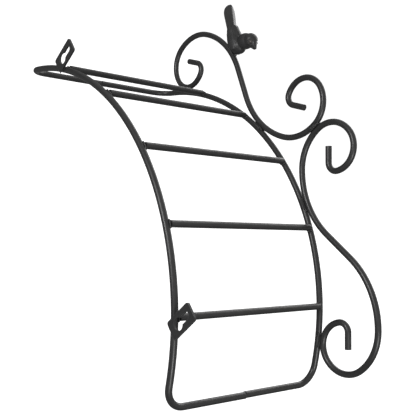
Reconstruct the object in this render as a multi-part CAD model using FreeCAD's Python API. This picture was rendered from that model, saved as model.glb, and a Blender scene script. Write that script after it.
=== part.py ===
"""Arched wall rack: two bent rod rails, five cross bars, a pair of scrolls, a perched bird and two keyhole plates.

X runs to the right as seen from the front, Y runs into the wall and Z runs up. The origin is midway between the
round holes of the two keyhole plates, on the wall plane that the backs of the plates lie on. Sizes are in mm
and angles in degrees.
"""

import FreeCAD, Part
import math
import os

os.makedirs("parts", exist_ok=True)

# Rod stock and welds
rod_diameter = 6.35         # quarter inch steel rod, used for every bent piece and bar
weld_gap = 0.2              # root gap left between two pieces, filled by the weld
bar_weld_radius = 4.3       # ball of weld at each end of a cross bar
butt_weld_radius = 3.8      # ball of weld where the two rails meet end to end
groove_weld_radius = 2.7    # weld laid in the groove between two rods that touch
groove_weld_length = 8.0
bird_weld_radius = 3.6
bird_weld_length = 14.0

# Arch
arch_radius = 246.0         # to the centreline of the rails
arch_depth = 184.0          # wall rail centreline to front rail centreline
bar_count = 5
bar_pitch = 18.1            # angle between neighbouring cross bars
bar_proud = 2.0             # the bars sit this much above the rail centreline
corner_radius = 19.0        # bend where a rail turns to run front to back
end_step = 0.6              # the front rail's ends stop this much short, so the butt joints show a step

# Keyhole plates
plate_spacing = 310.0       # between the two plate centrelines
plate_width = 17.0
plate_height = 32.0
plate_thickness = 2.0
plate_corner = 2.5
plate_seat = 1.5            # height of the bottom edge above the rail centreline
hole_radius = 5.5
hole_height = 12.0          # round hole centre above the plate's bottom edge
slot_width = 6.2
slot_rise = 12.5            # slot end centre above the round hole centre
plate_weld_radius = 1.9
plate_weld_length = 16.0

# Scroll: both halves are alike, turned half a turn about the middle of the straight
scroll_straight = 36.0      # straight run in the middle
scroll_tail = 16.0          # straight end of each curl
scroll_bends = (            # radius and sweep of the bends, from the middle out to a curl's end
    (84.0, 52.0),
    (47.3, 55.0),
    (28.8, 86.0),
    (23.3, 120.5),
    (9.0, 98.0),
)

# Bird, placed from its perch on the top of the right scroll: ahead is towards the rack's middle
body_length = 34.0
body_width = 19.0
body_height = 16.5
body_behind = 7.0           # body centre behind the perch
body_rise = 8.3             # body centre above the perch
body_pitch = 14.0
breast_length = 24.0
breast_width = 21.0
breast_height = 20.5
breast_ahead = 3.0
breast_rise = 9.5
neck_length = 17.0
neck_width = 15.0
neck_height = 18.0
neck_ahead = 8.0
neck_rise = 19.0
neck_pitch = -30.0
head_diameter = 14.2
head_ahead = 11.6
head_rise = 27.4
beak_length = 6.0           # from the front of the head to the tip
beak_width = 6.0
beak_tip_radius = 0.4
beak_set = 2.0              # depth of the beak's root inside the head
beak_dip = 3.0
wing_length = 28.0
wing_height = 11.0
wing_thickness = 5.0
wing_behind = 8.0
wing_rise = 12.5
wing_proud = 1.0            # a wing's outer face stands this far out from the body's side
tail_length = 30.0
tail_width = 19.0
tail_root_width = 11.4
tail_thickness = 2.6
tail_curve = 14.0           # radius that the blade is rounded over, side to side
tail_pitch = 28.0           # the tail is cocked up by this angle
tail_behind = 20.0
tail_rise = 14.5

# Worked out from the sizes above
rod_radius = rod_diameter / 2
end_angle = bar_pitch * (bar_count + 1) / 2
wall_y = -plate_thickness - rod_radius
front_y = wall_y - arch_depth
rail_at_plate = math.sqrt(arch_radius ** 2 - (plate_spacing / 2) ** 2)
arch_z = -(rail_at_plate + plate_seat + hole_height)

# Seating of a scroll on the front rail
seat_first_tip = 15.0       # the tip that the search starts from
seat_attempts = 200
seat_tolerance = 1e-4

AXIS_X = FreeCAD.Vector(1, 0, 0)
AXIS_Y = FreeCAD.Vector(0, 1, 0)
AXIS_Z = FreeCAD.Vector(0, 0, 1)


def on_arch(angle, radius, y):
    """Point at an angle from the crown, at a radius about the arch's centre."""
    turn = math.radians(angle)
    return FreeCAD.Vector(radius * math.sin(turn), y, arch_z + radius * math.cos(turn))


def arc_edge(start, middle, end):
    return Part.Arc(start, middle, end).toShape()


def rod_along(edges, radius=rod_radius):
    """Round rod of the given radius swept along a chain of tangent edges."""
    path = Part.Wire(edges)
    first = path.OrderedEdges[0]
    start = first.valueAt(first.FirstParameter)
    direction = first.tangentAt(first.FirstParameter)
    ring = Part.Wire(Part.makeCircle(radius, start, direction))
    return path.makePipeShell([ring], True, False)


def capsule(centre, direction, length, radius):
    """Round-ended bar of the given overall length, centred on a point."""
    run = FreeCAD.Vector(direction).normalize() * (length / 2 - radius)
    shaft = Part.makeCylinder(radius, run.Length * 2, centre - run, run)
    ends = [Part.makeSphere(radius, centre - run), Part.makeSphere(radius, centre + run)]
    return shaft.multiFuse(ends).removeSplitter()


def rail(y, inward, shortening):
    """Rail in the plane Y = y: the arch, a bend at each end and a straight run to the butt joint.

    inward is +1 or -1, the way along Y towards the other rail.
    """
    bend_turn = math.degrees((corner_radius + shortening) / arch_radius)
    last = end_angle - bend_turn
    ends = [on_arch(angle, arch_radius, y) for angle in (-last, 0, last)]
    edges = [arc_edge(*ends)]
    run_length = arch_depth / 2 - corner_radius - weld_gap / 2
    for side in (-1, 1):
        turn = math.radians(last)
        onward = FreeCAD.Vector(side * math.cos(turn), 0, -math.sin(turn))
        start = on_arch(side * last, arch_radius, y)
        centre = start + AXIS_Y * (inward * corner_radius)
        middle = centre + (onward - AXIS_Y * inward) * (corner_radius / math.sqrt(2))
        end = centre + onward * corner_radius
        edges.append(arc_edge(start, middle, end))
        edges.append(Part.makeLine(end, end + AXIS_Y * (inward * run_length)))
    return rod_along(Part.__sortEdges__(edges))


def butt_joint(side):
    """Middle of the gap between the two rails' ends, on one side of the rack."""
    bend_turn = corner_radius / arch_radius
    last = math.radians(end_angle) - bend_turn
    onward = FreeCAD.Vector(side * math.cos(last), 0, -math.sin(last))
    start = on_arch(side * math.degrees(last), arch_radius, (wall_y + front_y) / 2)
    return start + onward * (corner_radius - end_step / 2)


def bar_angles():
    return [bar_pitch * (index - (bar_count - 1) / 2) for index in range(bar_count)]


def bar_end(angle, y, inward):
    """Middle of a cross bar's end face, a weld gap away from the rail's side."""
    return on_arch(angle, arch_radius + bar_proud, y + inward * (rod_radius + weld_gap))


def cross_bar(angle):
    back = bar_end(angle, wall_y, -1)
    front = bar_end(angle, front_y, 1)
    return Part.makeCylinder(rod_radius, (front - back).Length, back, front - back)


def half_scroll():
    """Pieces of half a scroll from its middle out to one curl's end, in its own flat frame.

    The frame's origin is the middle of the scroll and its X axis lies along the straight. Each piece is
    (start, middle, end, centre, radius); a straight has no centre and a radius of 0.
    """
    place = FreeCAD.Vector(0, 0, 0)
    heading = 0.0
    pieces = []

    def straight(length):
        ahead = FreeCAD.Vector(math.cos(heading), 0, math.sin(heading))
        return (place, place + ahead * (length / 2), place + ahead * length, None, 0)

    pieces.append(straight(scroll_straight / 2))
    for radius, sweep in scroll_bends:
        place = pieces[-1][2]
        right = FreeCAD.Vector(math.sin(heading), 0, -math.cos(heading))
        centre = place + right * radius
        turned = []
        for share in (0.5, 1.0):
            angle = heading - math.radians(sweep) * share
            turned.append(centre + FreeCAD.Vector(-math.sin(angle), 0, math.cos(angle)) * radius)
        pieces.append((place, turned[0], turned[1], centre, radius))
        heading -= math.radians(sweep)
    place = pieces[-1][2]
    pieces.append(straight(scroll_tail))
    return pieces


def piece_points(piece, step=1.0):
    """Points along one piece of a scroll, about a step apart."""
    start, middle, end, centre, radius = piece
    if radius == 0:
        count = max(2, int((end - start).Length / step))
        return [start + (end - start) * (index / count) for index in range(count + 1)]
    arm = start - centre
    half_chord = (middle - start).Length / 2
    sweep = 4 * math.asin(half_chord / radius)
    count = max(2, int(sweep * radius / step))
    points = []
    for index in range(count + 1):
        turn = sweep * index / count
        cosine = math.cos(turn)
        sine = math.sin(turn)
        points.append(centre + FreeCAD.Vector(arm.x * cosine + arm.z * sine, 0, arm.z * cosine - arm.x * sine))
    return points


def tipped(point, tip):
    """A point of the flat frame, turned about Y so that the outer half points up by an angle."""
    cosine = math.cos(tip)
    sine = math.sin(tip)
    return FreeCAD.Vector(point.x * cosine - point.z * sine, 0, point.x * sine + point.z * cosine)


def seat_scroll():
    """Where the right scroll's middle goes, how far it is tipped, and its two seats on the front rail.

    The scroll meets its twin on the rack's middle plane and rests on the rail at two places, each a weld
    gap away. It is slid sideways, raised and tipped by its remaining gaps until none is left.
    """
    outer = [point for piece in half_scroll() for point in piece_points(piece)]
    inner = [point * -1 for point in outer]
    seat = arch_radius + 2 * rod_radius + weld_gap
    place = FreeCAD.Vector(outer[-1].Length, 0, arch_radius)
    tip = math.radians(seat_first_tip)
    for attempt in range(seat_attempts):
        outer_placed = [place + tipped(point, tip) for point in outer]
        inner_placed = [place + tipped(point, tip) for point in inner]
        outer_seat = min(outer_placed, key=lambda point: point.Length)
        inner_seat = min(inner_placed, key=lambda point: point.Length)
        side_gap = min(point.x for point in inner_placed) - rod_radius - weld_gap / 2
        outer_gap = outer_seat.Length - seat
        inner_gap = inner_seat.Length - seat
        if max(abs(side_gap), abs(outer_gap), abs(inner_gap)) < seat_tolerance:
            break
        place = place + FreeCAD.Vector(-side_gap, 0, -inner_gap)
        tip -= (outer_gap - inner_gap) / (outer_seat.x - inner_seat.x)
    side_seat = min(inner_placed, key=lambda point: point.x)
    return place, tip, outer_seat, inner_seat, side_seat


scroll_place, scroll_tip, outer_seat, inner_seat, side_seat = seat_scroll()


def in_rack(point, side=1):
    """A point of the front rail's plane, given from the arch's centre, on the right or mirrored to the left."""
    return FreeCAD.Vector(side * point.x, front_y, arch_z + point.z)


def scroll(side, radius=rod_radius):
    """One scroll as a bent rod, the right one or its mirror image."""
    edges = []
    for half in (1, -1):
        for start, middle, end, centre, bend in half_scroll():
            flat = [point * half for point in (start, middle, end)]
            places = [in_rack(scroll_place + tipped(point, scroll_tip), side) for point in flat]
            edges.append(arc_edge(*places) if bend else Part.makeLine(places[0], places[2]))
    return rod_along(Part.__sortEdges__(edges), radius)


def perch():
    """Top of the right scroll's outer hump, on the rod's surface, where the scroll runs level."""
    start, middle, end, centre, radius = half_scroll()[1]
    crown = scroll_place + tipped(centre, scroll_tip) + AXIS_Z * (radius + rod_radius)
    return in_rack(crown)


def keyhole_plate(side):
    """Flat plate with rounded corners, a round hole and a slot that rises from it."""
    bottom = -hole_height
    centre_x = side * plate_spacing / 2
    blank = Part.makeBox(
        plate_width, plate_thickness, plate_height,
        FreeCAD.Vector(centre_x - plate_width / 2, -plate_thickness, bottom),
    )
    through = [edge for edge in blank.Edges if abs(edge.tangentAt(edge.FirstParameter).y) > 0.5]
    plate = blank.makeFillet(plate_corner, through)
    back = FreeCAD.Vector(centre_x, 0, 0)
    hole = Part.makeCylinder(hole_radius, plate_thickness, back, AXIS_Y * -1)
    slot = Part.makeBox(
        slot_width, plate_thickness, slot_rise,
        FreeCAD.Vector(centre_x - slot_width / 2, -plate_thickness, 0),
    )
    slot_end = Part.makeCylinder(slot_width / 2, plate_thickness, back + AXIS_Z * slot_rise, AXIS_Y * -1)
    return plate.cut([hole, slot, slot_end]).removeSplitter()


def turned_about_y(shape, angle, about):
    """Copy of a shape, turned so that its +X end rises by an angle."""
    copy = shape.copy()
    copy.rotate(about, AXIS_Y, -angle)
    return copy


def by_perch(ahead, rise, aside=0):
    """A point placed from the bird's perch."""
    return perch() + FreeCAD.Vector(-ahead, aside, rise)


def ellipsoid(centre, length, width, height, pitch=0):
    """Egg shape by its three diameters along X, Y and Z, with its +X end raised by an angle."""
    ball = Part.makeSphere(0.5)
    scale = FreeCAD.Matrix()
    scale.scale(length, width, height)
    egg = ball.transformGeometry(scale)
    egg.translate(centre)
    return turned_about_y(egg, pitch, centre)


def bird_tail(root):
    """Paddle-shaped blade, rounded over from side to side and cocked up behind the bird."""
    tip_radius = tail_width / 2
    root_half = tail_root_width / 2
    shoulder = tail_length - tip_radius
    outline = [
        Part.makeLine(FreeCAD.Vector(0, -root_half, 0), FreeCAD.Vector(shoulder, -tip_radius, 0)),
        arc_edge(
            FreeCAD.Vector(shoulder, -tip_radius, 0),
            FreeCAD.Vector(tail_length, 0, 0),
            FreeCAD.Vector(shoulder, tip_radius, 0),
        ),
        Part.makeLine(FreeCAD.Vector(shoulder, tip_radius, 0), FreeCAD.Vector(0, root_half, 0)),
        Part.makeLine(FreeCAD.Vector(0, root_half, 0), FreeCAD.Vector(0, -root_half, 0)),
    ]
    drop = AXIS_Z * (-tail_curve)
    column = Part.Face(Part.Wire(outline)).extrude(AXIS_Z * (2 * tail_curve))
    column.translate(drop)
    outer = Part.makeCylinder(tail_curve, tail_length, drop, AXIS_X)
    inner = Part.makeCylinder(tail_curve - tail_thickness, tail_length, drop, AXIS_X)
    blade = column.common(outer.cut(inner))
    blade.translate(root)
    return turned_about_y(blade, tail_pitch, root)


def bird_beak(head_centre):
    """Short cone that dips forwards out of the head."""
    root = head_centre - AXIS_X * (head_diameter / 2 - beak_set)
    reach = FreeCAD.Vector(-beak_length - beak_set, 0, -beak_dip)
    return Part.makeCone(beak_width / 2, beak_tip_radius, reach.Length, root, reach)


def bird(rod):
    """Small bird facing the rack's middle, its belly hollowed to sit on the scroll."""
    breast = ellipsoid(by_perch(breast_ahead, breast_rise), breast_length, breast_width, breast_height)
    body = ellipsoid(by_perch(-body_behind, body_rise), body_length, body_width, body_height, body_pitch)
    neck = ellipsoid(by_perch(neck_ahead, neck_rise), neck_length, neck_width, neck_height, neck_pitch)
    head_centre = by_perch(head_ahead, head_rise)
    head = ellipsoid(head_centre, head_diameter, head_diameter, head_diameter)
    tail = bird_tail(by_perch(-tail_behind, tail_rise))
    pieces = [body, neck, head, bird_beak(head_centre), tail]
    wing_out = body_width / 2 + wing_proud - wing_thickness / 2
    for side in (-1, 1):
        shoulder = by_perch(-wing_behind, wing_rise, side * wing_out)
        pieces.append(ellipsoid(shoulder, wing_length, wing_thickness, wing_height, body_pitch))
    casting = breast.multiFuse(pieces)
    return casting.cut(rod)


def weld_bead(blank, *pieces):
    """Bead that fills the space left between the pieces it joins."""
    bead = blank.cut(list(pieces))
    return max(bead.Solids, key=lambda solid: solid.Volume)


def bar_welds(angle, bar, wall, front, scrolls):
    """Beads at both ends of a cross bar. The front one also keeps clear of a scroll that passes over it."""
    wall_ball = Part.makeSphere(bar_weld_radius, bar_end(angle, wall_y, -1))
    front_ball = Part.makeSphere(bar_weld_radius, bar_end(angle, front_y, 1))
    return Part.makeCompound([weld_bead(wall_ball, bar, wall), weld_bead(front_ball, bar, front, *scrolls)])


def seat_weld(seat, side, rod, front):
    """Bead in the groove where a scroll rests on the front rail."""
    place = in_rack(seat * ((arch_radius + rod_radius + weld_gap / 2) / seat.Length), side)
    along = FreeCAD.Vector(seat.z, 0, -side * seat.x)
    return weld_bead(capsule(place, along, groove_weld_length, groove_weld_radius), rod, front)


def plate_weld(side, plate, wall):
    """Fillet under a plate's bottom edge, on the back of the wall rail."""
    place = FreeCAD.Vector(side * plate_spacing / 2, -plate_thickness, -hole_height - plate_weld_radius / 2)
    return weld_bead(capsule(place, AXIS_X, plate_weld_length, plate_weld_radius), plate, wall)


def write(name, shape):
    """Write one named piece, after a check that it is made of sound solids."""
    if not shape.isValid() or not shape.Solids:
        raise ValueError(name + " is not a sound solid")
    shape.exportStep("parts/" + name + ".step")
    print(name, len(shape.Solids), "solid,", round(sum(solid.Volume for solid in shape.Solids), 1), "mm3")


wall = rail(wall_y, -1, 0)
front = rail(front_y, 1, end_step)
scrolls = {-1: scroll(-1), 1: scroll(1)}
write("wall_rail", wall)
write("front_rail", front)

for number, angle in enumerate(bar_angles(), start=1):
    bar = cross_bar(angle)
    write("cross_bar_" + str(number), bar)
    write("bar_welds_" + str(number), bar_welds(angle, bar, wall, front, scrolls.values()))

for side, name in ((-1, "left"), (1, "right")):
    rod = scrolls[side]
    write("scroll_" + name, rod)
    seat_beads = [seat_weld(seat, side, rod, front) for seat in (inner_seat, outer_seat)]
    write("scroll_welds_" + name, Part.makeCompound(seat_beads))
    plate = keyhole_plate(side)
    write("keyhole_plate_" + name, plate)
    write("plate_weld_" + name, plate_weld(side, plate, wall))
    joint = Part.makeSphere(butt_weld_radius, butt_joint(side))
    write("butt_weld_" + name, weld_bead(joint, wall, front))

meeting = in_rack(FreeCAD.Vector(0, 0, side_seat.z))
centre_blank = capsule(meeting, AXIS_Z, groove_weld_length, groove_weld_radius)
write("scroll_weld_centre", weld_bead(centre_blank, scrolls[-1], scrolls[1]))

casting = bird(scroll(1, rod_radius + weld_gap))
write("bird", casting)
bird_blank = capsule(perch(), AXIS_X, bird_weld_length, bird_weld_radius)
write("bird_weld", weld_bead(bird_blank, casting, scrolls[1]))
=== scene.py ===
# %% [markdown]
# # Arched wall rack with scrolls and a bird
# The rack is one welded piece of bent steel rod under a satin black powder coat. Two curved rails and five
# cross bars make a ladder-like arch, two big scrolls stand on the front rail, a small cast bird sits on one
# of them, and two keyhole plates hang the rack on screws in a wall.
#
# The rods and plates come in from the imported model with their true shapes, so they only need a finish. What
# a drawing program leaves plain is made here: the rippled weld beads and the bird with its feathers.

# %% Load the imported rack
import math

import bmesh
import bpy
from mathutils import Matrix, Vector
from mathutils.bvhtree import BVHTree


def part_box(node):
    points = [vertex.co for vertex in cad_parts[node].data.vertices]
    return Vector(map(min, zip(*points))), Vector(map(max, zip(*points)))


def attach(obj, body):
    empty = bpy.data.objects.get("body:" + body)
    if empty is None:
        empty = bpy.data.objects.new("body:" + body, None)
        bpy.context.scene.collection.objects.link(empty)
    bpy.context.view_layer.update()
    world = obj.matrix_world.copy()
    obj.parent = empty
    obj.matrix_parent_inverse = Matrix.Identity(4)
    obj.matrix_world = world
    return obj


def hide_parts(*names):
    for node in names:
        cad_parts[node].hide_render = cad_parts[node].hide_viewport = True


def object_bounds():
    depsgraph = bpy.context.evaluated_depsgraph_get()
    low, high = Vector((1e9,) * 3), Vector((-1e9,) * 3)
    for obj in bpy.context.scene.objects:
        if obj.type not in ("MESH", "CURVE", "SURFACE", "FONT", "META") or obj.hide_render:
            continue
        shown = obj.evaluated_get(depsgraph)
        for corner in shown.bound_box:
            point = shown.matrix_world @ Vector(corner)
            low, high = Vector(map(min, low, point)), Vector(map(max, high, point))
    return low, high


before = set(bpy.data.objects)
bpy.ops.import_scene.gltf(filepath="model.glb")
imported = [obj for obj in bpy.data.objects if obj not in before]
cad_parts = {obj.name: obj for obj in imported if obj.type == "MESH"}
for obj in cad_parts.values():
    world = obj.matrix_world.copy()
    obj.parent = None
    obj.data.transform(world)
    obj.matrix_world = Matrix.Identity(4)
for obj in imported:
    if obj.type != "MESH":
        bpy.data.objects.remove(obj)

cad_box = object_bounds()
print("nodes:", ", ".join(sorted(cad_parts)))
print("size in mm:", [round(1000 * (high - low), 1) for low, high in zip(*cad_box)])

# %% [markdown]
# ## Camera
# The rack is seen from behind and above, over its left end, and the camera is rolled so that the arch stands
# up like a leaning ladder. A camera looks along its own -Z with +Y up, so three crossed directions make its
# turn: right, up and back.

# %% Place the camera
camera_place = Vector((-0.3824, 0.3898, 0.4162))
camera_ahead = Vector((0.4802, -0.6670, -0.5697)).normalized()
camera_up = Vector((0.7844, 0.0359, 0.6192))
camera_right = camera_ahead.cross(camera_up).normalized()
camera_up = camera_right.cross(camera_ahead)
turn = Matrix((camera_right, camera_up, -camera_ahead)).transposed()

camera = bpy.data.objects.new("camera", bpy.data.cameras.new("camera"))
camera.matrix_world = Matrix.Translation(camera_place) @ turn.to_4x4()
camera.data.sensor_width = 36.0
camera.data.lens = 65.27
camera.data.clip_start = 0.02
camera.data.clip_end = 60.0
bpy.context.collection.objects.link(camera)
bpy.context.scene.camera = camera
print("camera", [round(value, 3) for value in camera_place], "lens", camera.data.lens)

# %% [markdown]
# ## Floor and light
# Black rod only shows its roundness by what it mirrors, so the light matters more than the paint. The rack is
# lit like a small studio product: the walls that the camera sees are white, but what the rods mirror is a dim
# grey room, which keeps their rims dark. A rod mirrors a lamp as a line along itself, and the line lies where
# the rod's skin faces halfway between lamp and camera. So two small lamps on the wall's side draw a narrow
# line along each rail, one for its crown and one for its lower end. A broad lamp in front of the rack lays a
# wide sheen on whatever turns that way. The floor is far below, because the rack hangs on a wall.

# %% Colours that the camera sees and the rods don't
def seen_and_mirrored(tree, seen, mirrored):
    """Colour that is one value for the camera and another for light that bounces."""
    path = tree.nodes.new("ShaderNodeLightPath")
    blend = tree.nodes.new("ShaderNodeMix")
    blend.data_type = "RGBA"
    blend.inputs[6].default_value = (mirrored, mirrored, mirrored, 1.0)
    blend.inputs[7].default_value = (seen, seen, seen, 1.0)
    tree.links.new(path.outputs["Is Camera Ray"], blend.inputs[0])
    return blend.outputs[2]


scene = bpy.context.scene
scene.view_settings.view_transform = "Standard"
room = bpy.data.worlds.new("studio_room")
room.use_nodes = True
room_tree = room.node_tree
room_tree.links.new(seen_and_mirrored(room_tree, 1.0, 0.38), room_tree.nodes["Background"].inputs["Color"])
scene.world = room
print("room:", room.name)


# %% Floor
def plain_floor(height, half_width):
    signs = ((-1, -1), (1, -1), (1, 1), (-1, 1))
    mesh = bpy.data.meshes.new("floor")
    mesh.from_pydata([(x * half_width, y * half_width, height) for x, y in signs], [], [(0, 1, 2, 3)])
    paint = bpy.data.materials.new("pale_floor")
    paint.use_nodes = True
    tree = paint.node_tree
    shader = tree.nodes["Principled BSDF"]
    shader.inputs["Roughness"].default_value = 1.0
    shader.inputs["Specular IOR Level"].default_value = 0.0
    tree.links.new(seen_and_mirrored(tree, 0.5, 0.25), shader.inputs["Base Color"])
    shader.inputs["Emission Strength"].default_value = 1.0
    tree.links.new(seen_and_mirrored(tree, 0.88, 0.0), shader.inputs["Emission Color"])
    mesh.materials.append(paint)
    floor = bpy.data.objects.new("floor", mesh)
    bpy.context.collection.objects.link(floor)
    return floor


floor = plain_floor(-0.75, 14.0)
print("floor at", floor.data.vertices[0].co.z, "m")


# %% Lamps
def soft_lamp(name, direction, distance, size, power):
    """Square lamp at a distance in a direction from the rack's middle, turned to face it."""
    middle = (Vector(cad_box[0]) + Vector(cad_box[1])) / 2
    toward = Vector(direction).normalized()
    data = bpy.data.lights.new(name, "AREA")
    data.size = size
    data.energy = power
    lamp = bpy.data.objects.new(name, data)
    lamp.location = middle + toward * distance
    lamp.rotation_euler = toward.to_track_quat("Z", "Y").to_euler()
    bpy.context.collection.objects.link(lamp)
    print(name, [round(value, 2) for value in lamp.location], power, "W")
    return lamp


sheen_lamp = soft_lamp("sheen_lamp", (0.45, -0.85, 0.2), 1.6, 1.5, 17.0)
line_lamp = soft_lamp("line_lamp", (0.13, 0.94, 0.31), 1.6, 0.5, 11.5)
end_lamp = soft_lamp("end_lamp", (-0.86, 0.38, 0.34), 1.6, 0.32, 8.0)

# %% [markdown]
# ## Powder coat
# Powder coat melts and flows as it cures, which leaves a fine dimpled skin that makers call orange peel, with
# here and there a speck. The coat draws back from sharp corners, so they look a little rubbed. These effects
# are shared by every finish, so each is one shader node group with its own inputs, and each finish sets its
# own values for them.

# %% Helpers for node trees
def new_group(name, inputs, outputs):
    """Shader node group with float or vector inputs (name, kind, value) and outputs (name, kind)."""
    group = bpy.data.node_groups.new(name, "ShaderNodeTree")
    for label, kind, value in inputs:
        socket = group.interface.new_socket(label, in_out="INPUT", socket_type=kind)
        if value is not None:
            socket.default_value = value
    for label, kind in outputs:
        group.interface.new_socket(label, in_out="OUTPUT", socket_type=kind)
    return group, group.nodes.new("NodeGroupInput"), group.nodes.new("NodeGroupOutput")


def add(tree, kind, values=None, **settings):
    """Node with its settings and the values of its inputs."""
    node = tree.nodes.new(kind)
    for key, value in settings.items():
        setattr(node, key, value)
    for key, value in (values or {}).items():
        node.inputs[key].default_value = value
    return node


def join(tree, *pairs):
    for source, target in pairs:
        tree.links.new(source, target)


# %% Orange peel: the height of the cured skin
def build_orange_peel():
    tree, given, result = new_group(
        "orange_peel",
        [("Place", "NodeSocketVector", None), ("Dimple Scale", "NodeSocketFloat", 900.0),
         ("Grain Scale", "NodeSocketFloat", 4200.0), ("Grain Share", "NodeSocketFloat", 0.35)],
        [("Height", "NodeSocketFloat"), ("Tone", "NodeSocketFloat")],
    )
    dimples = add(tree, "ShaderNodeTexNoise", {"Detail": 2.0, "Roughness": 0.45})
    grain = add(tree, "ShaderNodeTexNoise", {"Detail": 1.0, "Roughness": 0.5})
    broad = add(tree, "ShaderNodeTexNoise", {"Scale": 60.0, "Detail": 3.0, "Roughness": 0.6})
    mix = add(tree, "ShaderNodeMix", data_type="FLOAT")
    join(
        tree,
        (given.outputs["Place"], dimples.inputs["Vector"]),
        (given.outputs["Place"], grain.inputs["Vector"]),
        (given.outputs["Place"], broad.inputs["Vector"]),
        (given.outputs["Dimple Scale"], dimples.inputs["Scale"]),
        (given.outputs["Grain Scale"], grain.inputs["Scale"]),
        (given.outputs["Grain Share"], mix.inputs[0]),
        (dimples.outputs[0], mix.inputs[2]),
        (grain.outputs[0], mix.inputs[3]),
        (mix.outputs[0], result.inputs["Height"]),
        (broad.outputs[0], result.inputs["Tone"]),
    )
    return tree


# %% Rubbed edges: where a corner has lost some of its coat
def build_rubbed_edges():
    tree, given, result = new_group(
        "rubbed_edges",
        [("Place", "NodeSocketVector", None), ("Reach", "NodeSocketFloat", 0.0006),
         ("Patchiness", "NodeSocketFloat", 0.5)],
        [("Mask", "NodeSocketFloat")],
    )
    rounded = add(tree, "ShaderNodeBevel", samples=4)
    flat = add(tree, "ShaderNodeNewGeometry")
    turned = add(tree, "ShaderNodeVectorMath", operation="DOT_PRODUCT")
    corner = add(tree, "ShaderNodeMapRange", {"From Min": 0.995, "From Max": 0.86, "To Min": 0.0, "To Max": 1.0})
    patches = add(tree, "ShaderNodeTexNoise", {"Scale": 420.0, "Detail": 4.0, "Roughness": 0.65})
    kept = add(tree, "ShaderNodeMapRange", {"From Min": 0.35, "From Max": 0.65, "To Min": 0.0, "To Max": 1.0})
    blend = add(tree, "ShaderNodeMix", {2: 1.0}, data_type="FLOAT")
    mask = add(tree, "ShaderNodeMath", operation="MULTIPLY", use_clamp=True)
    join(
        tree,
        (given.outputs["Reach"], rounded.inputs["Radius"]),
        (rounded.outputs["Normal"], turned.inputs[0]),
        (flat.outputs["Normal"], turned.inputs[1]),
        (turned.outputs["Value"], corner.inputs["Value"]),
        (given.outputs["Place"], patches.inputs["Vector"]),
        (patches.outputs[0], kept.inputs["Value"]),
        (given.outputs["Patchiness"], blend.inputs[0]),
        (kept.outputs[0], blend.inputs[3]),
        (corner.outputs[0], mask.inputs[0]),
        (blend.outputs[0], mask.inputs[1]),
        (mask.outputs[0], result.inputs["Mask"]),
    )
    return tree


# %% Settled dust: a thin grey bloom on what faces up
def build_settled_dust():
    tree, given, result = new_group(
        "settled_dust",
        [("Place", "NodeSocketVector", None), ("Amount", "NodeSocketFloat", 0.3)],
        [("Mask", "NodeSocketFloat")],
    )
    facing = add(tree, "ShaderNodeNewGeometry")
    upright = add(tree, "ShaderNodeSeparateXYZ")
    up = add(tree, "ShaderNodeMapRange", {"From Min": 0.45, "From Max": 1.0, "To Min": 0.0, "To Max": 1.0})
    patches = add(tree, "ShaderNodeTexNoise", {"Scale": 130.0, "Detail": 6.0, "Roughness": 0.7})
    lumpy = add(tree, "ShaderNodeMapRange", {"From Min": 0.3, "From Max": 0.7, "To Min": 0.0, "To Max": 1.0})
    where = add(tree, "ShaderNodeMath", operation="MULTIPLY")
    amount = add(tree, "ShaderNodeMath", operation="MULTIPLY", use_clamp=True)
    join(
        tree,
        (facing.outputs["Normal"], upright.inputs[0]),
        (upright.outputs["Z"], up.inputs["Value"]),
        (given.outputs["Place"], patches.inputs["Vector"]),
        (patches.outputs[0], lumpy.inputs["Value"]),
        (up.outputs[0], where.inputs[0]),
        (lumpy.outputs[0], where.inputs[1]),
        (where.outputs[0], amount.inputs[0]),
        (given.outputs["Amount"], amount.inputs[1]),
        (amount.outputs[0], result.inputs["Mask"]),
    )
    return tree


orange_peel = build_orange_peel()
rubbed_edges = build_rubbed_edges()
settled_dust = build_settled_dust()
print("shader groups:", orange_peel.name, rubbed_edges.name, settled_dust.name)

# %% One finish, with its own values for the shared effects
COAT_DARK = (0.023, 0.023, 0.0235, 1.0)
COAT_PALE = (0.033, 0.033, 0.0335, 1.0)
PRIMER_GREY = (0.10, 0.10, 0.102, 1.0)
DUST_GREY = (0.15, 0.145, 0.135, 1.0)


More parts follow.
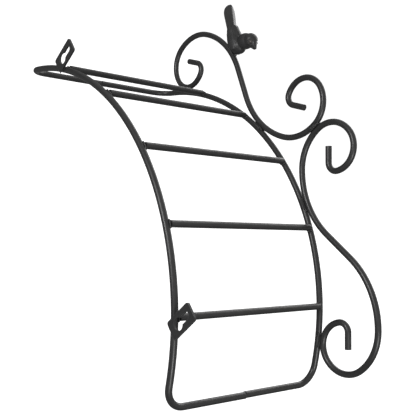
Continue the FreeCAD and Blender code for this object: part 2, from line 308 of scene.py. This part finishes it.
def powder_coat(name, dimple=900.0, grain=4200.0, grain_share=0.35, bump=0.00004, rough=(0.30, 0.40),
                edge_reach=0.0006, wear=0.5, dust=0.12, dark=COAT_DARK, pale=COAT_PALE):
    finish = bpy.data.materials.new(name)
    finish.use_nodes = True
    tree = finish.node_tree
    shader = tree.nodes["Principled BSDF"]
    shader.inputs["Specular IOR Level"].default_value = 0.5
    place = add(tree, "ShaderNodeTexCoord")

    peel = add(tree, "ShaderNodeGroup", node_tree=orange_peel)
    peel.inputs["Dimple Scale"].default_value = dimple
    peel.inputs["Grain Scale"].default_value = grain
    peel.inputs["Grain Share"].default_value = grain_share
    edges = add(tree, "ShaderNodeGroup", node_tree=rubbed_edges)
    edges.inputs["Reach"].default_value = edge_reach
    bloom = add(tree, "ShaderNodeGroup", node_tree=settled_dust)
    bloom.inputs["Amount"].default_value = dust
    for group in (peel, edges, bloom):
        tree.links.new(place.outputs["Object"], group.inputs["Place"])

    coat = add(tree, "ShaderNodeMix", {6: dark, 7: pale}, data_type="RGBA")
    worn_share = add(tree, "ShaderNodeMath", {1: wear}, operation="MULTIPLY")
    worn = add(tree, "ShaderNodeMix", {7: PRIMER_GREY}, data_type="RGBA")
    dusty = add(tree, "ShaderNodeMix", {7: DUST_GREY}, data_type="RGBA")
    gloss = add(tree, "ShaderNodeMapRange", {"From Min": 0.3, "From Max": 0.7, "To Min": rough[0], "To Max": rough[1]})
    dull = add(tree, "ShaderNodeMix", {3: 0.8}, data_type="FLOAT")
    skin = add(tree, "ShaderNodeBump", {"Strength": 1.0, "Distance": bump})
    join(
        tree,
        (peel.outputs["Tone"], coat.inputs[0]),
        (edges.outputs["Mask"], worn_share.inputs[0]),
        (worn_share.outputs[0], worn.inputs[0]),
        (coat.outputs[2], worn.inputs[6]),
        (bloom.outputs["Mask"], dusty.inputs[0]),
        (worn.outputs[2], dusty.inputs[6]),
        (dusty.outputs[2], shader.inputs["Base Color"]),
        (peel.outputs["Tone"], gloss.inputs["Value"]),
        (bloom.outputs["Mask"], dull.inputs[0]),
        (gloss.outputs[0], dull.inputs[2]),
        (dull.outputs[0], shader.inputs["Roughness"]),
        (peel.outputs["Height"], skin.inputs["Height"]),
        (skin.outputs["Normal"], shader.inputs["Normal"]),
    )
    return finish


rod_coat = powder_coat("rod_coat")
plate_coat = powder_coat("plate_coat", dimple=700.0, bump=0.00009, edge_reach=0.0007, wear=0.7)
weld_coat = powder_coat("weld_coat", dimple=1300.0, bump=0.00012, rough=(0.30, 0.46), dust=0.15)
casting_coat = powder_coat("casting_coat", dimple=1500.0, grain=5200.0, grain_share=0.5, bump=0.0001, rough=(0.34, 0.5))
eye_coat = powder_coat(
    "eye_coat", dimple=1500.0, bump=0.00003, rough=(0.22, 0.30), dust=0.0, dark=(0.075, 0.066, 0.060, 1.0),
    pale=(0.10, 0.088, 0.080, 1.0)
)
print("finishes:", rod_coat.name, plate_coat.name, weld_coat.name, casting_coat.name, eye_coat.name)

# %% Give each carried-over node its finish
for name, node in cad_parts.items():
    if name.startswith("keyhole_plate"):
        finish = plate_coat
    elif "weld" in name:
        finish = weld_coat
    elif name == "bird":
        finish = casting_coat
    else:
        finish = rod_coat
    for slot in range(max(1, len(node.data.materials))):
        if slot < len(node.data.materials):
            node.data.materials[slot] = finish
        else:
            node.data.materials.append(finish)
print("finished nodes:", len(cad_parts))

# %% [markdown]
# ## Bird
# The bird is a small iron casting. Its body is a few rounded masses that run into each other, like clay
# pressed together, so overlapping eggs are fused by a voxel remesh and then smoothed. Feathers repeat, so one
# feather is modelled and Geometry Nodes lays it in rows over each wing. A last fusing at a finer grain turns
# everything into one skin, as in a real casting, where no feather is a separate piece.

# %% Tools for the bird, in millimetres from its perch
MM = 0.001
perch = Vector((150.66, -189.175, 58.13)) * MM
hump_radius = 84.0 * MM
rod_radius = 3.175 * MM


def by_perch(ahead, rise, aside=0.0):
    """Point placed from the perch, in metres. Ahead is towards the rack's middle, which is -X."""
    return perch + Vector((-ahead, aside, rise)) * MM


def add_egg(form, centre, length, width, height, pitch=0.0, roll=0.0, yaw=0.0):
    """Egg by its three diameters in mm. Its tail end rises by pitch and swings by yaw, and it leans over by roll."""
    place = Matrix.Translation(centre) @ Matrix.Rotation(math.radians(yaw), 4, "Z")
    place = place @ Matrix.Rotation(-math.radians(pitch), 4, "Y")
    place = place @ Matrix.Rotation(math.radians(roll), 4, "X")
    place = place @ Matrix.Diagonal((length * MM, width * MM, height * MM, 1.0))
    bmesh.ops.create_icosphere(form, subdivisions=4, radius=0.5, matrix=place)


def object_from(form, name):
    mesh = bpy.data.meshes.new(name)
    form.to_mesh(mesh)
    form.free()
    item = bpy.data.objects.new(name, mesh)
    bpy.context.collection.objects.link(item)
    return item


def fused(item, voxel, smoothing, passes):
    """Mesh of the object's shells melted into one skin."""
    melt = item.modifiers.new("melt", "REMESH")
    melt.mode = "VOXEL"
    melt.voxel_size = voxel * MM
    soften = item.modifiers.new("soften", "SMOOTH")
    soften.factor = smoothing
    soften.iterations = passes
    mesh = bpy.data.meshes.new_from_object(item.evaluated_get(bpy.context.evaluated_depsgraph_get()))
    item.modifiers.clear()
    return mesh


print("perch in mm:", [round(value / MM, 1) for value in perch])


# %% Body, neck, head, beak and wings as overlapping masses
def add_face(form, head):
    """The head narrows to a stout beak, whose upper half is longer and closes over the lower one."""
    for reach, dip, base, root_dip in ((14.4, 0.6, 6.0, -0.4), (13.0, 2.6, 5.2, 1.6)):
        root = head + Vector((-3.0, 0.0, -root_dip)) * MM
        tip = head + Vector((-reach, 0.0, -dip)) * MM
        span = tip - root
        place = Matrix.Translation((root + tip) / 2) @ span.to_track_quat("Z", "Y").to_matrix().to_4x4()
        bmesh.ops.create_cone(
            form, cap_ends=True, segments=24, radius1=base * MM, radius2=0.5 * MM, depth=span.length, matrix=place
        )


def bird_masses():
    form = bmesh.new()
    add_egg(form, by_perch(1.2, 10.0), 20.5, 17.0, 17.0, 4.0)         # breast
    add_egg(form, by_perch(-8.5, 13.6), 29.0, 12.0, 11.0, 22.0)       # ridge of the back
    add_egg(form, by_perch(-6.0, 8.8), 32.0, 19.0, 15.5, 17.0)        # belly and back
    add_egg(form, by_perch(-17.5, 12.6), 20.0, 14.0, 9.0, 25.0)       # rump
    add_egg(form, by_perch(5.6, 20.4), 22.0, 16.0, 18.0, -42.0)       # neck
    add_egg(form, by_perch(11.0, 27.0), 16.0, 15.4, 15.2, -20.0)      # head
    add_face(form, by_perch(11.0, 27.0))
    for side in (-1, 1):
        wing = by_perch(-6.0, 11.4, side * 6.0)
        add_egg(form, wing, 27.0, 7.0, 14.0, 22.0, side * 34.0, side * -11.0)
        mantle = by_perch(-9.0, 14.6, side * 3.9)
        add_egg(form, mantle, 28.0, 4.6, 12.0, 24.0, side * 56.0, side * -5.0)
    return object_from(form, "bird_masses")


masses = bird_masses()
plain_body = fused(masses, 0.6, 0.5, 8)
print("body faces:", len(plain_body.polygons))


# %% Tail: a blade with a ridge along its middle, grooved between its feathers
def blade_half_width(along, root=7.6, widest=9.3, shoulder=0.6):
    """Half width in mm, as a share of the way from root to tip: it widens, then rounds off."""
    if along < shoulder:
        return root + (widest - root) * along / shoulder
    turn = (along - shoulder) / (1.0 - shoulder)
    return widest * math.sqrt(max(0.0, 1.0 - turn ** 2.2))


def add_tail(form, root, length=32.5, pitch=26.5, thickness=2.0, rows=64, columns=48):
    place = Matrix.Translation(root) @ Matrix.Rotation(-math.radians(pitch), 4, "Y")
    layers = []
    for top in (True, False):
        grid = []
        for row in range(rows + 1):
            along = row / rows
            half = blade_half_width(along)
            line = []
            for column in range(columns + 1):
                across = 2.0 * column / columns - 1.0
                aside = across * half
                drop = 4.5 * abs(aside / 9.3) ** 1.12
                groove = 0.32 * abs(math.cos(math.pi * (aside / 2.95 + 0.5))) ** 0.6
                edge = 1.0 - abs(across) ** 6
                rise = -drop + (groove if top else -thickness * edge)
                line.append(form.verts.new(place @ (Vector((along * length, aside, rise)) * MM)))
            grid.append(line)
        layers.append(grid)
    upper, lower = layers
    for row in range(rows):
        for column in range(columns):
            a, b = upper[row][column], upper[row + 1][column]
            c, d = upper[row + 1][column + 1], upper[row][column + 1]
            form.faces.new((a, b, c, d))
            a, b = lower[row][column], lower[row + 1][column]
            c, d = lower[row + 1][column + 1], lower[row][column + 1]
            form.faces.new((d, c, b, a))
        for column, flip in ((0, False), (columns, True)):
            ring = (upper[row][column], lower[row][column], lower[row + 1][column], upper[row + 1][column])
            form.faces.new(ring[::-1] if flip else ring)
    for row, flip in ((0, True), (rows, False)):
        for column in range(columns):
            ring = (upper[row][column], lower[row][column], lower[row][column + 1], upper[row][column + 1])
            form.faces.new(ring[::-1] if flip else ring)


# %% Eyes: round balls, each in a socket pressed into the head
head_middle = by_perch(11.0, 27.0)
eye_radius = 1.7 * MM
eyes = []
for side in (-1, 1):
    gaze = Vector((-5.2, side * 4.6, 1.2)).normalized()
    eyes.append((head_middle + gaze * 6.7 * MM, gaze))


def press_sockets(mesh, width=1.5, depth=0.7):
    """A round trough in the head about each eye, left out where the ball stands."""
    for vertex in mesh.vertices:
        for centre, gaze in eyes:
            offset = vertex.co - centre
            aside = (offset - gaze * offset.dot(gaze)).length / MM
            share = abs(aside - 1.9) / width
            if offset.length < 4.0 * MM and share < 1.0:
                vertex.co = vertex.co - gaze * depth * MM * (1.0 - share * share)


def tail_and_eyes():
    form = bmesh.new()
    add_tail(form, by_perch(-16.5, 15.0))
    for centre, gaze in eyes:
        bmesh.ops.create_icosphere(form, subdivisions=4, radius=eye_radius, matrix=Matrix.Translation(centre))
    bmesh.ops.recalc_face_normals(form, faces=form.faces)
    return object_from(form, "tail_and_eyes")


trimmings = tail_and_eyes()
print("tail and eyes:", len(trimmings.data.polygons), "faces")


# %% One feather, unit long and wide, with a shaft and a rounded tip
def one_feather(rows=14, columns=8):
    form = bmesh.new()
    layers = []
    for top in (True, False):
        grid = []
        for row in range(rows + 1):
            along = row / rows
            tip = math.sqrt(max(0.0, 1.0 - max(0.0, (along - 0.55) / 0.45) ** 2))
            half = 0.5 * tip * (0.55 + 0.45 * min(1.0, along * 3))
            line = []
            for column in range(columns + 1):
                across = 2.0 * column / columns - 1.0
                shaft = 0.35 * math.exp(-(across * 3.2) ** 2)
                rise = (0.65 + shaft) * (1.0 - across ** 4) if top else -1.2
                line.append(form.verts.new((along, across * half, rise)))
            grid.append(line)
        layers.append(grid)
    upper, lower = layers
    for row in range(rows):
        for column in range(columns):
            for layer in (upper, lower):
                here, there = layer[row], layer[row + 1]
                form.faces.new((here[column], there[column], there[column + 1], here[column + 1]))
        for column in (0, columns):
            form.faces.new((upper[row][column], lower[row][column], lower[row + 1][column], upper[row + 1][column]))
    for row in (0, rows):
        for column in range(columns):
            form.faces.new((upper[row][column], lower[row][column], lower[row][column + 1], upper[row][column + 1]))
    bmesh.ops.recalc_face_normals(form, faces=form.faces)
    return object_from(form, "one_feather")


feather = one_feather()
print("feather faces:", len(feather.data.polygons))


# %% Tree that lays feathers on seats
def build_feather_cover():
    tree = bpy.data.node_groups.new("feather_cover", "GeometryNodeTree")
    face = tree.interface
    face.new_socket("Seats", in_out="INPUT", socket_type="NodeSocketGeometry")
    face.new_socket("Feather", in_out="INPUT", socket_type="NodeSocketObject")
    face.new_socket("Lift", in_out="INPUT", socket_type="NodeSocketFloat").default_value = 0.08
    face.new_socket("Wander", in_out="INPUT", socket_type="NodeSocketFloat").default_value = 0.05
    face.new_socket("Seed", in_out="INPUT", socket_type="NodeSocketInt").default_value = 7
    face.new_socket("Finish", in_out="INPUT", socket_type="NodeSocketMaterial")
    face.new_socket("Feathers", in_out="OUTPUT", socket_type="NodeSocketGeometry")
    given, result = tree.nodes.new("NodeGroupInput"), tree.nodes.new("NodeGroupOutput")
    outward = add(tree, "GeometryNodeInputNamedAttribute", {"Name": "outward"}, data_type="FLOAT_VECTOR")
    along = add(tree, "GeometryNodeInputNamedAttribute", {"Name": "along"}, data_type="FLOAT_VECTOR")
    size = add(tree, "GeometryNodeInputNamedAttribute", {"Name": "size"}, data_type="FLOAT_VECTOR")
    stand = add(tree, "FunctionNodeAlignRotationToVector", axis="Z")
    lie = add(tree, "FunctionNodeAlignRotationToVector", axis="X", pivot_axis="Z")
    swing = add(tree, "FunctionNodeRandomValue", data_type="FLOAT")
    spread = add(tree, "ShaderNodeMath", {1: -1.0}, operation="MULTIPLY")
    lift = add(tree, "ShaderNodeMath", {1: -1.0}, operation="MULTIPLY")
    tilt = add(tree, "ShaderNodeCombineXYZ")
    tip_up = add(tree, "FunctionNodeEulerToRotation")
    turned = add(tree, "FunctionNodeRotateRotation", rotation_space="LOCAL")
    shape = add(tree, "GeometryNodeObjectInfo")
    laid = add(tree, "GeometryNodeInstanceOnPoints")
    real = add(tree, "GeometryNodeRealizeInstances")
    paint = add(tree, "GeometryNodeSetMaterial")
    join(
        tree,
        (outward.outputs[0], stand.inputs["Vector"]),
        (stand.outputs[0], lie.inputs["Rotation"]),
        (along.outputs[0], lie.inputs["Vector"]),
        (given.outputs["Wander"], spread.inputs[0]),
        (spread.outputs[0], swing.inputs[2]),
        (given.outputs["Wander"], swing.inputs[3]),
        (given.outputs["Seed"], swing.inputs["Seed"]),
        (given.outputs["Lift"], lift.inputs[0]),
        (lift.outputs[0], tilt.inputs["Y"]),
        (swing.outputs[1], tilt.inputs["Z"]),
        (tilt.outputs[0], tip_up.inputs[0]),
        (lie.outputs[0], turned.inputs["Rotation"]),
        (tip_up.outputs[0], turned.inputs["Rotate By"]),
        (given.outputs["Feather"], shape.inputs["Object"]),
        (given.outputs["Seats"], laid.inputs["Points"]),
        (shape.outputs["Geometry"], laid.inputs["Instance"]),
        (turned.outputs[0], laid.inputs["Rotation"]),
        (size.outputs[0], laid.inputs["Scale"]),
        (laid.outputs[0], real.inputs[0]),
        (real.outputs[0], paint.inputs["Geometry"]),
        (given.outputs["Finish"], paint.inputs["Material"]),
        (paint.outputs[0], result.inputs[0]),
    )
    return tree


def grown(item, tree, **values):
    """Mesh that a Geometry Nodes tree makes from an object, with the tree's named inputs set first."""
    growth = item.modifiers.new("growth", "NODES")
    growth.node_group = tree
    sockets = {socket.name: socket.identifier for socket in tree.interface.items_tree if socket.in_out == "INPUT"}
    for name, value in values.items():
        growth[sockets[name]] = value
    mesh = bpy.data.meshes.new_from_object(item.evaluated_get(bpy.context.evaluated_depsgraph_get()))
    item.modifiers.clear()
    return mesh


feather_cover = build_feather_cover()
print("tree:", feather_cover.name)


# %% Seats on both wings, found by feeling inwards for the body
def wing_rows():
    """(share of the way back, share of the way up, length, width, relief) of each feather, in mm."""
    seats = []
    for row in range(5):
        for k in range(5):
            up = 0.08 + 0.84 * (k + 0.5 * (row % 2)) / 4.5
            seats.append((0.04 + 0.085 * row, up, 4.4, 3.4, 0.22))
    for k in range(6):
        seats.append((0.40, 0.05 + 0.9 * k / 5, 9.0, 3.1, 0.38))
    for k in range(6):
        seats.append((0.60, 0.04 + 0.92 * k / 5, 9.5, 2.7, 0.42))
    return seats


def wing_seats(body):
    search = BVHTree.FromPolygons([vertex.co for vertex in body.vertices], [face.vertices for face in body.polygons])
    points, outwards, alongs, sizes = [], [], [], []
    for side in (-1, 1):
        for back, up, length, width, relief in wing_rows():
            low, high = 5.0 + 6.5 * back, 15.5 + 2.5 * back
            start = by_perch(1.0 - 21.5 * back, low + (high - low) * up, side * 40.0)
            point, normal, face, distance = search.ray_cast(start, Vector((0.0, -side, 0.0)))
            if point is None:
                continue
            rearward = by_perch(-27.0, 15.5, side * 5.0) - point
            flat = (rearward - normal * rearward.dot(normal)).normalized()
            points.append(point)
            outwards.append(normal)
            alongs.append(flat)
            sizes.append(Vector((length, width, relief)) * MM)
    mesh = bpy.data.meshes.new("wing_seats")
    mesh.from_pydata(points, [], [])
    for name, values in (("outward", outwards), ("along", alongs), ("size", sizes)):
        field = mesh.attributes.new(name, "FLOAT_VECTOR", "POINT")
        for index, value in enumerate(values):
            field.data[index].vector = value
    seats = bpy.data.objects.new("wing_seats", mesh)
    bpy.context.collection.objects.link(seats)
    return seats


seats = wing_seats(plain_body)
plumage = grown(seats, feather_cover, Feather=feather, Lift=0.05, Wander=0.05, Seed=7, Finish=casting_coat)
print("feathers:", len(seats.data.vertices), "with", len(plumage.polygons), "faces")


# %% Fuse everything into one casting and hollow its belly to the rod
def hollow_for_rod(mesh, gap=0.15):
    """Push what would sink into the scroll's rod out to just clear of it."""
    clear = rod_radius + gap * MM
    middle = perch - Vector((0.0, 0.0, hump_radius + rod_radius))
    for vertex in mesh.vertices:
        offset = vertex.co - middle
        radial = math.hypot(offset.x, offset.z)
        above, aside = radial - hump_radius, offset.y
        reach = math.hypot(above, aside)
        if reach < clear:
            wanted = math.sqrt(clear ** 2 - aside ** 2)
            scale = (hump_radius + wanted) / radial
            vertex.co = middle + Vector((offset.x * scale, offset.y, offset.z * scale))


def keep_slim(mesh, from_aside=8.8, most=10.3, reach=12.4):
    """Ease in what stands out furthest to either side, so that the bird is no wider than its packed size."""
    for vertex in mesh.vertices:
        aside = (vertex.co.y - perch.y) / MM
        if abs(aside) > from_aside:
            eased = from_aside + (abs(aside) - from_aside) * (most - from_aside) / (reach - from_aside)
            vertex.co.y = perch.y + math.copysign(eased, aside) * MM


def cast_bird():
    press_sockets(plain_body)
    form = bmesh.new()
    for mesh in (plain_body, trimmings.data, plumage):
        form.from_mesh(mesh)
    rough = object_from(form, "rough_bird")
    mesh = fused(rough, 0.36, 0.4, 2)
    mesh.name = "cast_bird"
    hollow_for_rod(mesh)
    keep_slim(mesh)
    for leftover in (rough, masses, trimmings, feather, seats):
        bpy.data.objects.remove(leftover)
    for face in mesh.polygons:
        face.use_smooth = True
    mesh.materials.clear()
    mesh.materials.append(casting_coat)
    mesh.materials.append(eye_coat)
    for face in mesh.polygons:
        if min((face.center - centre).length for centre, gaze in eyes) < eye_radius + 0.15 * MM:
            face.material_index = 1
    casting = bpy.data.objects.new("cast_bird", mesh)
    bpy.context.collection.objects.link(casting)
    return casting


bird = cast_bird()
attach(bird, "root")
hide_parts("bird")
print("bird:", len(bird.data.polygons), "faces")

# %% [markdown]
# ## Weld beads
# A hand-laid bead is a row of small frozen puddles, each one lapping over the last. So the seam of every joint
# is drawn as a path, and Geometry Nodes sets a flattened drop on it at every step of the torch, with a little
# unevenness. The drops are then melted into one bead, thicker underneath, where the metal sags.

# %% Tree that lays drops along a seam
def build_weld_bead():
    tree = bpy.data.node_groups.new("weld_bead", "GeometryNodeTree")
    face = tree.interface
    face.new_socket("Seam", in_out="INPUT", socket_type="NodeSocketGeometry")
    face.new_socket("Step", in_out="INPUT", socket_type="NodeSocketFloat").default_value = 0.0009
    face.new_socket("Drop Radius", in_out="INPUT", socket_type="NodeSocketFloat").default_value = 0.001
    face.new_socket("Flatness", in_out="INPUT", socket_type="NodeSocketFloat").default_value = 0.6
    face.new_socket("Unevenness", in_out="INPUT", socket_type="NodeSocketFloat").default_value = 0.12
    face.new_socket("Seed", in_out="INPUT", socket_type="NodeSocketInt").default_value = 3
    face.new_socket("Finish", in_out="INPUT", socket_type="NodeSocketMaterial")
    face.new_socket("Bead", in_out="OUTPUT", socket_type="NodeSocketGeometry")
    given, result = tree.nodes.new("NodeGroupInput"), tree.nodes.new("NodeGroupOutput")
    path = add(tree, "GeometryNodeMeshToCurve")
    steps = add(tree, "GeometryNodeResampleCurve", mode="LENGTH")
    tangent = add(tree, "GeometryNodeInputTangent")
    turn = add(tree, "FunctionNodeAlignRotationToVector", axis="Z")
    heft = add(tree, "GeometryNodeInputNamedAttribute", {"Name": "heft"}, data_type="FLOAT")
    least = add(tree, "ShaderNodeMath", {0: 1.0}, operation="SUBTRACT")
    most = add(tree, "ShaderNodeMath", {0: 1.0}, operation="ADD")
    chance = add(tree, "FunctionNodeRandomValue", data_type="FLOAT")
    size = add(tree, "ShaderNodeMath", operation="MULTIPLY")
    wide = add(tree, "ShaderNodeMath", operation="MULTIPLY")
    flat = add(tree, "ShaderNodeMath", operation="MULTIPLY")
    scale = add(tree, "ShaderNodeCombineXYZ")
    drop = add(tree, "GeometryNodeMeshIcoSphere", {"Radius": 1.0, "Subdivisions": 3})
    laid = add(tree, "GeometryNodeInstanceOnPoints")
    real = add(tree, "GeometryNodeRealizeInstances")
    paint = add(tree, "GeometryNodeSetMaterial")
    join(
        tree,
        (given.outputs["Seam"], path.inputs[0]),
        (path.outputs[0], steps.inputs["Curve"]),
        (given.outputs["Step"], steps.inputs["Length"]),
        (tangent.outputs[0], turn.inputs["Vector"]),
        (given.outputs["Unevenness"], least.inputs[1]),
        (given.outputs["Unevenness"], most.inputs[1]),
        (least.outputs[0], chance.inputs[2]),
        (most.outputs[0], chance.inputs[3]),
        (given.outputs["Seed"], chance.inputs["Seed"]),
        (chance.outputs[1], size.inputs[0]),
        (heft.outputs[0], size.inputs[1]),
        (size.outputs[0], wide.inputs[0]),
        (given.outputs["Drop Radius"], wide.inputs[1]),
        (wide.outputs[0], flat.inputs[0]),
        (given.outputs["Flatness"], flat.inputs[1]),
        (wide.outputs[0], scale.inputs["X"]),
        (wide.outputs[0], scale.inputs["Y"]),
        (flat.outputs[0], scale.inputs["Z"]),
        (steps.outputs[0], laid.inputs["Points"]),
        (drop.outputs[0], laid.inputs["Instance"]),
        (turn.outputs[0], laid.inputs["Rotation"]),
        (scale.outputs[0], laid.inputs["Scale"]),
        (laid.outputs[0], real.inputs[0]),
        (real.outputs[0], paint.inputs["Geometry"]),
        (given.outputs["Finish"], paint.inputs["Material"]),
        (paint.outputs[0], result.inputs[0]),
    )
    return tree


weld_bead = build_weld_bead()
print("tree:", weld_bead.name)


# %% Seams: where each joint runs, as lists of (point, heft)
ACROSS = Vector((0.0, 1.0, 0.0))
arch_middle = Vector((0.0, 0.0, -204.53)) * MM


def middle_of(node):
    low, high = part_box(node)
    return (Vector(low) + Vector(high)) / 2


def islands(node):
    """Middles of the separate lumps that a packed weld node is made of."""
    form = bmesh.new()
    form.from_mesh(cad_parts[node].data)
    form.transform(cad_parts[node].matrix_world)
    left, middles = set(form.verts), []
    while left:
        lump, edge = set(), [left.pop()]
        while edge:
            vertex = edge.pop()
            lump.add(vertex)
            for link in vertex.link_edges:
                other = link.other_vert(vertex)
                if other in left:
                    left.discard(other)
                    edge.append(other)
        spans = [(min(v.co[k] for v in lump), max(v.co[k] for v in lump)) for k in range(3)]
        middles.append(Vector([(low + high) / 2 for low, high in spans]))
    form.free()
    return middles


def arch_directions(point):
    """Outwards from the arch's middle, and along the arch, at a point."""
    outwards = Vector((point.x - arch_middle.x, 0.0, point.z - arch_middle.z)).normalized()
    return outwards, Vector((outwards.z, 0.0, -outwards.x))


def bar_end_seam(bar, front):
    """Round a bar's end, down in the corner between the bar and the rail that it meets."""
    low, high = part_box(bar)
    axis = middle_of(bar)
    outwards, along = arch_directions(axis)
    inward = 1.0 if front else -1.0
    rail_y = (low[1] if front else high[1]) - inward * (rod_radius + 0.2 * MM)
    round_bar, proud = rod_radius + 0.1 * MM, 2.0 * MM
    seam = []
    for step in range(41):
        angle = 2 * math.pi * step / 40
        out = min(round_bar * math.sin(angle), 1.5 * MM)
        side = round_bar * math.cos(angle)
        off = math.sqrt(max((rod_radius + 0.35 * MM) ** 2 - (proud + out) ** 2, (1.7 * MM) ** 2))
        point = Vector((axis.x, rail_y + inward * off, axis.z)) + outwards * out + along * side
        seam.append((point, 1.0 - 0.28 * math.sin(angle)))
    return seam


def groove_seam(middle, along, aside, length, thick=1.0):
    """Straight bead in the groove between two rods that touch, tapering at its ends."""
    seam = []
    for step in range(21):
        share = 2.0 * step / 20 - 1.0
        seam.append((middle + aside + along * (share * length / 2), thick * (1.0 - 0.35 * share ** 4)))
    return seam


def rod_seam(middle, ring=2.7):
    """Ring where the two rails meet end to end. Most of the metal is underneath."""
    seam = []
    for step in range(33):
        angle = 2 * math.pi * step / 32
        round_rod = Vector((math.cos(angle), 0.0, math.sin(angle))) * ring * MM
        seam.append((middle + round_rod, 0.62 - 0.24 * math.sin(angle)))
    return seam


def seams_of(node):
    """Every seam that belongs to one packed weld node."""
    if node.startswith("bar_welds"):
        bar = node.replace("bar_welds", "cross_bar")
        return [bar_end_seam(bar, False), bar_end_seam(bar, True)]
    if node.startswith("butt_weld"):
        return [rod_seam(middle_of(node))]
    if node.startswith("plate_weld"):
        return [groove_seam(middle_of(node), Vector((1.0, 0.0, 0.0)), Vector(), 14.0 * MM)]
    if node == "bird_weld":
        down = Vector((0.0, 0.0, -0.9)) * MM
        return [groove_seam(perch, Vector((1.0, 0.0, 0.0)), down + ACROSS * (side * 2.7 * MM), 11.0 * MM)
                for side in (-1, 1)]
    seams = []
    for middle in islands(node):
        along = Vector((0.0, 0.0, 1.0)) if node == "scroll_weld_centre" else arch_directions(middle)[1]
        length = 7.5 if node == "scroll_weld_centre" else 9.5
        for side in (-1, 1):
            seams.append(groove_seam(middle, along, ACROSS * (side * 2.45 * MM), length * MM, 1.25))
    return seams


welded = sorted(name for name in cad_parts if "weld" in name)
print("weld nodes:", len(welded), "seams:", sum(len(seams_of(name)) for name in welded))


# %% Lay and melt every bead
def lay_bead(node, seed):
    points, hefts, edges = [], [], []
    for seam in seams_of(node):
        for index, (point, heft) in enumerate(seam):
            if index:
                edges.append((len(points) - 1, len(points)))
            points.append(point)
            hefts.append(heft)
    mesh = bpy.data.meshes.new("seam")
    mesh.from_pydata(points, edges, [])
    mesh.attributes.new("heft", "FLOAT", "POINT").data.foreach_set("value", hefts)
    path = bpy.data.objects.new("seam", mesh)
    bpy.context.collection.objects.link(path)
    drops = bpy.data.objects.new("drops", grown(path, weld_bead, Seed=seed, Finish=weld_coat))
    bpy.context.collection.objects.link(drops)
    melted = fused(drops, 0.24, 0.3, 1)
    melted.name = "bead_" + node
    for face in melted.polygons:
        face.use_smooth = True
    melted.materials.clear()
    melted.materials.append(weld_coat)
    bead = bpy.data.objects.new("bead_" + node, melted)
    bpy.context.collection.objects.link(bead)
    for scrap in (path, drops):
        bpy.data.objects.remove(scrap)
    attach(bead, "root")
    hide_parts(node)
    return bead


beads = [lay_bead(name, seed) for seed, name in enumerate(welded)]
print("beads:", len(beads), "with", sum(len(bead.data.polygons) for bead in beads), "faces")
